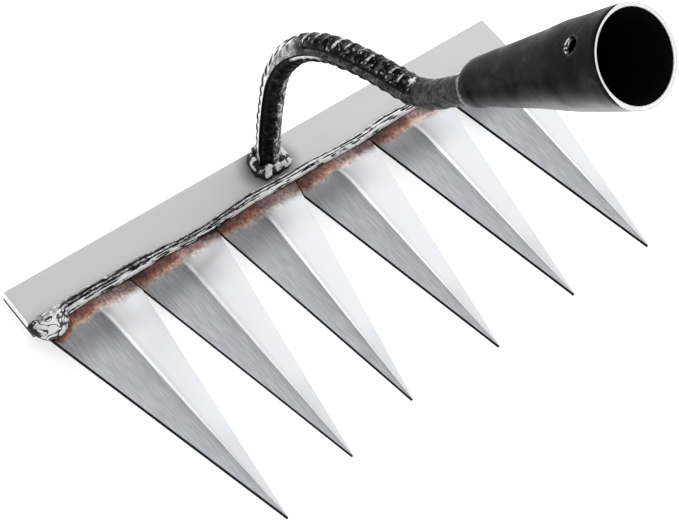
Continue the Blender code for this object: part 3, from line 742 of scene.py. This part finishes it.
def bore_black():
    """Dull black scale inside the socket."""
    paint = Paint("black_bore_scale", 0.0, 0.8)
    paint.shader.inputs["Specular IOR Level"].default_value = 0.1
    grain = paint.noise(1.5, detail=3)
    return paint.finish(paint.mix(grain, 0.001, 0.004), paint.ease(grain, 0.3, 0.7, 0.7, 0.9))


# Teeth

def notch_x(index):
    return (index - TOOTH_COUNT / 2) * TOOTH_PITCH + NOTCH_STRAYS[index]


def tooth_length(index):
    return TOOTH_LENGTH + LENGTH_STRAYS[index]


def tip_x(index):
    return (index + 0.5 - TOOTH_COUNT / 2) * TOOTH_PITCH + TIP_STRAYS[index]


def side_x(index, notch, back, outward):
    """Side of a tooth: along the seam up to the notch, then straight to the tip."""
    start = notch_x(notch) - outward * SEAT / 2
    depth = NOTCH_DEPTHS[notch]
    if back <= depth:
        return start + SEAM_LEANS[notch] * (1 - back / depth)
    end = tip_x(index) + outward * TIP_HALF_WIDTH
    return start + (end - start) * (back - depth) / (tooth_length(index) - depth)


def tooth_sides(index, back):
    """Left side, crease and right side of a tooth, at a distance from the bar's front face."""
    crease = (notch_x(index) + notch_x(index + 1)) / 2 + CREASE_STRAYS[index]
    middle = crease + (tip_x(index) - crease) * back / tooth_length(index)
    return side_x(index, index, back, -1), middle, side_x(index, index + 1, back, 1)


def tip_rise(index, back):
    return TIP_RISE * back / tooth_length(index)


def crease_height(index, back):
    """Height of the crease over the tooth's sides: it rises behind the root and runs out at the tip."""
    full = CREASE_HEIGHT * (1 - back / tooth_length(index))
    return CREASE_ROOT + (full - CREASE_ROOT) * smooth_step(back / CREASE_RUN) if back < CREASE_RUN else full


def crown(across):
    """Share of the crease's height left at a distance across, from 0 at the crease to 1 at a side."""
    bend = hypot(across, CREASE_ROUNDING) - CREASE_ROUNDING
    return 1 - bend / (hypot(1, CREASE_ROUNDING) - CREASE_ROUNDING)


def tooth_surface(x, back):
    """Height of the teeth over the bar's top face, at a place along the bar."""
    for index in range(TOOTH_COUNT):
        left, middle, right = tooth_sides(index, back)
        if left <= x <= right:
            half = middle - left if x < middle else right - middle
            return crease_height(index, back) * crown(abs(x - middle) / half) + tip_rise(index, back)
    return 0.0


def build_tooth(index, material):
    length = tooth_length(index)
    count = ceil((length - SEAT) / TOOTH_STEP)
    stations = {*steps(SEAT, length, count), *NOTCH_DEPTHS[index:index + 2]}
    places = [-place for place in reversed(BLADE_PLACES)] + [0.0] + list(BLADE_PLACES)
    shadow_line_share = 1.0 if index == 0 else LATER_SHADOW_LINE_SHARE
    rings = []
    marks = []
    for back in sorted(stations):
        left, middle, right = tooth_sides(index, back)
        top = []
        bottom = []
        for place in places:
            half = right - middle if place > 0 else middle - left
            z = BAR_TOP + crease_height(index, back) * crown(abs(place)) + tip_rise(index, back)
            ground = min(1.0, (1 - abs(place)) / GROUND_SHARE)
            body = (TOOTH_THICKNESS - TOOTH_EDGE) * min(1.0, half / THINNING_RUN)
            top.append(Vector((middle + place * half, -back, z)))
            bottom.append(Vector((middle + place * half, -back, z - TOOTH_EDGE - body * ground)))
        rings.append(top + bottom[::-1])
        for place, point in zip(places + places[::-1], rings[-1]):
            marks.append((place, back, (point.x - left) / shadow_line_share))
    mesh = loft(f"blade_{index + 1}", rings)
    keep_marks(mesh, ("across", "back", "from_left"), marks)
    add_piece(mesh, material, f"tooth_{index + 1}", 30.0)


# Weld bead

def bead_relief(x, side, swell):
    """Rise and fall of the bead's skin: dark lines that come and go between bright strands, and lumps.

    Sides run from -1 over the teeth to 1 over the bar, and swell is 1 at the middle of the starting lump.
    """
    lines = 0.0
    for order, (place, width, weight, common) in enumerate(BEAD_LINES):
        stray = 0.13 * lump(x, 3.0 + order, 0, 14) + 0.08 * lump(x, 7.0 + order, 0, 2.5)
        rarer = LINES_THIN_OUT * order * smooth_step((x - LINES_THIN_FROM) / LINES_THIN_FADE)
        presence = min(1.0, max(0.0, common - rarer + 1.5 * lump(x, 11.0 + order, 0, 6)))
        lines += weight * presence * exp(-(((side - place - stray) / width) ** 2))
    around = side * 3 * MM
    streaks = lump(x / 5, around, 0.02, 0.9)
    rough = lump(x, around, 0.04, 2.4)
    knots = lump(x, around, 0.05, 1.1)
    smoother = swell * smooth_step((0.3 - side) / 0.5)
    skin = (0.35 * streaks + 0.4 * rough + 0.25 * knots) * (1 - 0.3 * smoother)
    return -lines * (1 - 0.85 * swell) + skin + 0.3 * smoother


def bead_dullness(x, side, swell):
    """How blotchy the bead is: on the upper strand of its first half, and on the upper part of the lump."""
    first_half = smooth_step((BEAD_DULL_END - x) / BEAD_DULL_FADE)
    upper_strand = smooth_step((side + 0.5) / 0.25)
    upper_lump = smooth_step((side - 0.05) / 0.25)
    return max(first_half * upper_strand * (1 - swell), swell * upper_lump)


def bead_course(x):
    """Middle and half width of the bead at a place along the bar."""
    low, high, share = rows_around(BEAD_COURSE, x)
    share = smooth_step(share)
    return [start + (end - start) * share for start, end in zip(low[1:], high[1:])]


def bead_ring(x, swell, size):
    """Closed outline of the bead across the joint, with the shade and dullness at each of its points."""
    course, course_half = bead_course(x)
    middle = BEAD_WANDER * lump(x, 0, 0, BEAD_WANDER_SIZE) + course + (LUMP_SHIFT - course) * swell
    half = (course_half + (LUMP_HALF_WIDTH - course_half) * swell) * size
    height = (BEAD_HEIGHT + (LUMP_HEIGHT - BEAD_HEIGHT) * swell) * size
    at_joint = tooth_surface(x, 0)
    points = []
    marks = []
    for angle in range(180, -1, -BEAD_TURN_STEP):
        turn = radians(angle)
        side = cos(turn)
        relief = bead_relief(x, side, swell)
        y = middle + half * side * (1 + 0.1 * relief)
        ground = tooth_surface(x, -y) if y < 0 else 0.0
        over_joint = at_joint * (1 - angle / 360) * sin(turn) ** 0.3
        rise = max(ground, (height * sin(turn) + over_joint) * (1 + BEAD_RELIEF_SHARE * relief))
        points.append(Vector((x, y, BAR_TOP + SEAT + rise)))
        # The shade mark is painted light and shade: brighter with the relief and over the lump as painted
        # highlight, and falling off to black at both edges as painted shadow, over a wider strip on the bar's
        # side
        steepness = 2.6 if angle < 90 else 4.8
        edge = min(1.0, sin(turn) * (steepness - 1.4 * swell))
        shade = (0.64 + 0.34 * relief + 0.12 * swell) * (0.15 + 0.85 * edge)
        marks.append((shade, bead_dullness(x, side, swell)))
    points.append(Vector((x, 0, BAR_TOP + SEAT)))
    return points, marks + [(0.0, 0.0)]


def build_bead(material):
    start = -BAR_LENGTH / 2 - BEAD_OVERHANG
    end = BAR_LENGTH / 2 - END_MARGIN
    count = round((end - start) / BEAD_STEP)
    rings = []
    marks = []
    for x in steps(start, end, count):
        from_start = x - start
        swell = 0.0
        if from_start < LUMP_LENGTH:
            swell = sin(pi * from_start / LUMP_LENGTH) ** LUMP_ROUNDNESS
        rounding = min(from_start, end - x) / BEAD_HALF_WIDTH
        size = BEAD_END_SIZE + (1 - BEAD_END_SIZE) * sqrt(smooth_step(rounding))
        points, point_marks = bead_ring(x, swell, size)
        rings.append(points)
        # Painted shadow: the shade darkens toward the bead's starting end, outlining the lump
        shadow_outlined = 0.15 + 0.85 * smooth_step(from_start / LUMP_SHADOW_OUTLINE)
        marks += [(shade * shadow_outlined, dull) for shade, dull in point_marks]
    mesh = loft("top_bead", rings)
    keep_marks(mesh, ("relief", "dull"), marks)
    add_piece(mesh, material, "root_weld", 60.0)


# Smaller welds

def subdivided(name, node, levels):
    """A solid's own form as a mesh of rounder shape, with its flat corners joined before it is subdivided."""
    shape = bmesh.new()
    shape.from_mesh(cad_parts[node].data)
    bmesh.ops.remove_doubles(shape, verts=shape.verts, dist=0.01 * MM)
    flat = radians(50)
    bmesh.ops.join_triangles(shape, faces=shape.faces, angle_face_threshold=flat, angle_shape_threshold=flat)
    coarse = add_object(name + "_coarse", mesh_from(name + "_coarse", shape))
    coarse.modifiers.new("finer", "SUBSURF").levels = levels
    mesh = modified_mesh(coarse)
    bpy.data.objects.remove(coarse)
    mesh.name = name
    return mesh


def finer_weld(name, node, slot, material, levels, roughs, push, dull=0.0, base_shade=0.0, front=(1.0, 1.0)):
    """A smaller weld, roughened. Its front may be stretched forward and upward, and it may be painted with
    shade, dark at its base and darker toward the left.
    """
    mesh = subdivided(name, node, levels)
    reliefs = [sum(share * lump(*vertex.co, size) for size, share in roughs) for vertex in mesh.vertices]
    places = [vertex.co + vertex.normal * push * relief for vertex, relief in zip(mesh.vertices, reliefs)]
    for vertex, place in zip(mesh.vertices, places):
        vertex.co = place - BENCH
    base = min(vertex.co.z for vertex in mesh.vertices)
    middle_x, middle_y = (sum(vertex.co[axis] for vertex in mesh.vertices) / len(reliefs) for axis in (0, 1))
    forward, upward = front
    marks = []
    for vertex, relief in zip(mesh.vertices, reliefs):
        ahead = smooth_step((middle_y - vertex.co.y) / WELD_FRONT_FADE)
        vertex.co.y = middle_y + (vertex.co.y - middle_y) * (1 + (forward - 1) * ahead)
        vertex.co.z = base + (vertex.co.z - base) * (1 + (upward - 1) * ahead)
        # Painted shade: darker at the base and toward the left, and brighter with the relief
        low = 1 - smooth_step((vertex.co.z - base - WELD_BASE_HEIGHT) / WELD_BASE_FADE)
        side = min(0.3, (vertex.co.x - middle_x) / (10 * MM) + 0.1)
        level = 0.6 + (0.6 + 0.4 * base_shade) * relief + 0.3 * base_shade * side
        marks.append((level * (1 - 0.85 * base_shade * low), dull))
    keep_marks(mesh, ("relief", "dull"), marks)
    add_piece(mesh, material, node, WELD_SHARP_ANGLE)


# Neck

def rod_at(length):
    """Centre, heading, outer side and flank of the rod at a distance along it."""
    forward = 0.0
    rise = 0.0
    heading = -ROD_LEAN_BACK
    left = length
    for bend_length, turn in ROD_BENDS:
        run = min(left, bend_length)
        radius = bend_length / turn
        after = heading + run / radius
        forward += radius * (cos(heading) - cos(after))
        rise += radius * (sin(after) - sin(heading))
        heading = after
        left -= run
        if left <= 0:
            break
    forward += max(left, 0.0) * sin(heading)
    rise += max(left, 0.0) * cos(heading)
    centre = ROD_FOOT + ROD_FORWARD * forward + UP * rise
    along = ROD_FORWARD * sin(heading) + UP * cos(heading)
    outer = UP * sin(heading) - ROD_FORWARD * cos(heading)
    return centre, along, outer, along.cross(outer)


def rib_fade(length):
    """Ribs fade out at both ends and are lower on the last stretch."""
    from_end = ROD_TO_SOCKET - length
    fade = smooth_step((length - PLAIN_AT_FOOT) / RIB_FADE)
    fade *= smooth_step((from_end - PLAIN_AT_SOCKET) / RIB_FADE)
    return fade * (1 - (1 - CALM_SHARE) * smooth_step((length - CALM_FROM) / CALM_FADE))


def rib_heights(length, angle):
    """Heights of the side ribs and of the slanting cross ribs, and the cross ribs' wave."""
    side = max(0.0, abs(sin(angle)) - cos(SIDE_RIB_HALF_ANGLE))
    side = min(SIDE_RIB_HEIGHT * side * SIDE_RIB_STEEPNESS, SIDE_RIB_HEIGHT)
    on_outer = cos(angle) > 0
    shift = 0.0 if on_outer else CROSS_RIB_PITCH / 2
    stray = RIB_STRAY * lump(length, 2.0 if on_outer else 5.0, 0, 6)
    place = length - shift + CROSS_RIB_SLANT * sin(angle) + stray
    wave = cos(2 * pi * place / CROSS_RIB_PITCH)
    uneven = 0.75 + 0.6 * lump(length, cos(angle) * 4 * MM, 0, 4)
    if not on_outer:
        fuller = smooth_step((length - PLAIN_INSIDE_TO) / (2 * RIB_FADE))
        uneven *= INNER_RIB_SHARE + (1 - INNER_RIB_SHARE) * fuller
    flat = max(0.0, abs(cos(angle)) - CROSS_RIB_CLEAR)
    cross = CROSS_RIB_HEIGHT * max(0.0, wave) ** CROSS_RIB_ROUNDING * uneven
    cross *= min(1.0, CROSS_RIB_REACH * flat) ** CROSS_RIB_TAPER
    fade = rib_fade(length)
    return side * fade, cross * fade, wave


def build_rod(material):
    length_in_all = ROD_TO_SOCKET + ROD_IN_SOCKET
    count = round(length_in_all / ROD_STEP)
    rings = []
    marks = []
    for length in steps(0, length_in_all, count):
        centre, along, outer, flank = rod_at(length)
        core = ROD_RADIUS + ROD_GROWTH / 2 * min(length / ROD_TO_SOCKET, 1.0)
        knobbly = 1 + KNOBBLY_GAIN * smooth_step((length - KNOBBLY_FROM) / CALM_FADE)
        ring = []
        for angle in turns(ROD_SIDES):
            side_rib, cross_rib, wave = rib_heights(length, angle)
            out = outer * cos(angle) + flank * sin(angle)
            spot = centre + out * core
            rough = ROD_ROUGH * (lump(*spot, 2.2) + 0.5 * lump(*spot, 0.9)) * knobbly
            point = centre + out * (core + side_rib + cross_rib + rough)
            low = BAR_TOP + SEAT
            if point.z < low:
                point += along * ((low - point.z) / along.z)
            ring.append(point)
            turn = degrees(min(angle, 2 * pi - angle))
            marks.append((cross_rib / CROSS_RIB_HEIGHT, wave, turn, sin(angle), length))
        rings.append(ring)
    mesh = loft("ribbed_rod", rings)
    keep_marks(mesh, ("crest", "stripe", "turn", "near", "along"), marks)
    add_piece(mesh, material, "neck_rod", 80.0)


# Socket

def socket_frame():
    """Frame on the rod's centre line at the socket's lip: z along the rod, y to the outer side, x to +X."""
    centre, along, outer, flank = rod_at(ROD_TO_SOCKET)
    matrix = Matrix((outer.cross(along), outer, along)).transposed().to_4x4()
    matrix.translation = centre
    return matrix


def socket_offset(height):
    """How far the socket's middle lies from the rod's centre line, on the rod's outer side."""
    if height < SOCKET_SHOULDER:
        return SOCKET_OFFSET * sqrt(max(height, 0.0) / SOCKET_SHOULDER)
    return SOCKET_OFFSET * (SOCKET_LENGTH - height) / (SOCKET_LENGTH - SOCKET_SHOULDER)


def socket_radius(height):
    """Outer radius from the lip over the round shoulder to the mouth."""
    if height < SOCKET_SHOULDER:
        turn = acos(1 - height / SOCKET_SHOULDER)
        return SOCKET_LIP_RADIUS + (SOCKET_PROFILE[0][1] - SOCKET_LIP_RADIUS) * sin(turn)
    low, high, share = rows_around(SOCKET_PROFILE, height)
    return low[1] + (high[1] - low[1]) * share


def socket_ring(radius, height, offset, dent=0.0):
    ring = []
    for angle in turns(SOCKET_SIDES):
        out = Vector((cos(angle), sin(angle), 0))
        rough = dent * lump(*(out * SOCKET_DENT_TURN).xy, height, SOCKET_DENT_SIZE)
        ring.append(out * (radius + rough) + Vector((0, offset, height)))
    return ring


def socket_outside():
    """Rings from the lip over the shoulder and the slightly dented side, then around the mouth's rim."""
    rings = []
    for step in range(SHOULDER_STEPS + 1):
        height = SOCKET_SHOULDER * (1 - cos(pi / 2 * step / SHOULDER_STEPS))
        rings.append(socket_ring(socket_radius(height), height, socket_offset(height)))
    count = round((SOCKET_LENGTH - SOCKET_SHOULDER) / SOCKET_STEP)
    for height in steps(SOCKET_SHOULDER, SOCKET_LENGTH, count)[1:-1]:
        dent = SOCKET_DENTS * smooth_step((SOCKET_LENGTH - height) / (15 * MM))
        dent *= smooth_step((height - SOCKET_SHOULDER) / (10 * MM))
        rings.append(socket_ring(socket_radius(height), height, socket_offset(height), -dent))
    outer = SOCKET_PROFILE[-1][1]
    inner = outer - SOCKET_WALL
    corner = 0.3 * RIM_ROUNDING
    for radius, drop in (
        (outer - 0.02 * MM, RIM_ROUNDING),
        (outer - corner, corner),
        (outer - RIM_ROUNDING, 0.0),
        (inner + RIM_ROUNDING, 0.0),
        (inner + corner, corner),
        (inner, RIM_ROUNDING),
    ):
        rings.append(socket_ring(radius, SOCKET_LENGTH - drop, 0.0))
    return rings


def socket_inside():
    """Rings from the mouth down the bore to the lip."""
    rings = []
    for height, radius in reversed(SOCKET_PROFILE[1:-1]):
        rings.append(socket_ring(radius - SOCKET_WALL, height, socket_offset(height)))
    deep = SOCKET_SHOULDER + SOCKET_WALL
    rings.append(socket_ring(SOCKET_PROFILE[0][1] - SOCKET_WALL, deep, socket_offset(deep)))
    for height in (1.5 * SOCKET_WALL, 0.0):
        rings.append(socket_ring(SOCKET_BORE_AT_LIP, height, 0.0))
    return rings


def build_socket(outer_paint, inner_paint):
    outside = socket_outside()
    mesh = loft("handle_tube", outside + socket_inside(), closed=True)
    tube = add_piece(mesh, outer_paint, "handle_socket", SOCKET_SHARP_ANGLE, socket_frame())
    mesh.materials.append(inner_paint)
    for face in mesh.polygons[(len(outside) - 1) * SOCKET_SIDES:]:
        face.material_index = 1
    cut_screw_hole(tube)


def screw_hole_frame():
    """Frame whose z runs out through the socket's wall at the screw hole, and whose origin is on the axis."""
    spin = Matrix.Rotation(pi - SCREW_HOLE_TURN, 4, "Z")
    rise = Matrix.Translation((0, socket_offset(SCREW_HOLE_HEIGHT), SCREW_HOLE_HEIGHT))
    outward = Matrix.Rotation(pi / 2, 4, "Y")
    return socket_frame() @ rise @ spin @ outward


def cut_screw_hole(tube):
    """Drills the hole into the tube's mesh, with a slightly sunk edge."""
    skin = socket_radius(SCREW_HOLE_HEIGHT)
    rings = []
    for height, radius in (
        (skin / 2, SCREW_HOLE_RADIUS),
        (skin - SCREW_HOLE_SINK, SCREW_HOLE_RADIUS),
        (skin + 0.1 * MM, SCREW_HOLE_RADIUS + SCREW_HOLE_SINK),
        (skin + 2 * MM, SCREW_HOLE_RADIUS + 2.4 * MM),
    ):
        around = turns(SCREW_HOLE_SIDES)
        rings.append([Vector((radius * cos(turn), radius * sin(turn), height)) for turn in around])
    mesh = loft("screw_hole_cutter", rings)
    mesh.materials.append(tube.data.materials[0])
    mesh.transform(Matrix.Translation(BENCH) @ screw_hole_frame())
    cutter = add_object("screw_hole_cutter", mesh)
    cut = tube.modifiers.new("screw_hole", "BOOLEAN")
    cut.operation = "DIFFERENCE"
    cut.solver = "EXACT"
    cut.object = cutter
    drilled = modified_mesh(tube)
    tube.modifiers.clear()
    bpy.data.objects.remove(cutter)
    tube.data = drilled
    smooth(drilled, SOCKET_SHARP_ANGLE)


# Stage

def add_light(name, place, aim, size, power):
    data = bpy.data.lights.new(name, "AREA")
    data.shape = "RECTANGLE"
    data.size, data.size_y = size
    data.energy = power
    light = add_object(name, data)
    light.location = place
    light.rotation_euler = (Vector(aim) - Vector(place)).to_track_quat("-Z", "Y").to_euler()
    light.visible_camera = False


def add_floor():
    shape = bmesh.new()
    bmesh.ops.create_grid(shape, x_segments=8, y_segments=8, size=FLOOR_HALF_SIZE)
    mesh = mesh_from("studio_floor", shape)
    paint = Paint("pale_floor", 0.0, 0.9)
    paint.shader.inputs["Emission Color"].default_value = WHITE
    paint.shader.inputs["Emission Strength"].default_value = 0.55
    mesh.materials.append(paint.finish(paint.mix(paint.noise(400), 0.88, 0.9)))
    floor = add_object("studio_floor", mesh)
    floor.location.z = -FLOOR_DROP


def add_studio():
    world = bpy.data.worlds.new("studio_air")
    world.use_nodes = True
    air = world.node_tree.nodes["Background"]
    air.inputs["Color"].default_value = WHITE
    air.inputs["Strength"].default_value = 0.62
    bpy.context.scene.world = world
    add_light("right_softbox", (2.31, 0.93, 1.71), (0, 0, 0.03), size=(3.2, 2.8), power=34.0)
    mouth = BENCH + socket_frame() @ (UP * SOCKET_LENGTH)
    add_light("rim_softbox", (0.51, -0.71, 0.79), mouth, size=(0.36, 0.36), power=0.5)
    bpy.context.scene.view_settings.view_transform = "Standard"


def add_camera():
    """The photograph's camera, fitted to the bar's corners, the tooth tips and the socket's mouth."""
    data = bpy.data.cameras.new("photo_camera")
    data.lens = CAMERA_LENS
    data.clip_start = 10 * MM
    camera = add_object("photo_camera", data)
    turned = Euler([radians(turn) for turn in CAMERA_TURNS])
    camera.matrix_world = Matrix.LocRotScale(CAMERA_PLACE, turned, None)
    bpy.context.scene.camera = camera


def dress_rake():
    steel = tooth_steel()
    weld = weld_metal()
    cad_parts["back_bar"].material_slots[0].material = bar_steel()
    for index in range(TOOTH_COUNT):
        build_tooth(index, steel)
    build_bead(weld)
    foot_look = FOOT_ROUGHS, 0.7 * MM, 0.25, 1.0, FOOT_WELD_FRONT
    finer_weld("foot_bead", "foot_weld", "weld_metal", weld, 3, *foot_look)
    finer_weld("socket_bead", "socket_weld", "black_rod", painted_weld(), 3, FINE_ROUGHS, 0.3 * MM)
    finer_weld("underside_bead", "underside_weld", "weld_metal", weld, 2, FINE_ROUGHS, 0.4 * MM)
    build_rod(black_rod())
    build_socket(black_socket(), bore_black())


dress_rake()
add_floor()
add_studio()
add_camera()
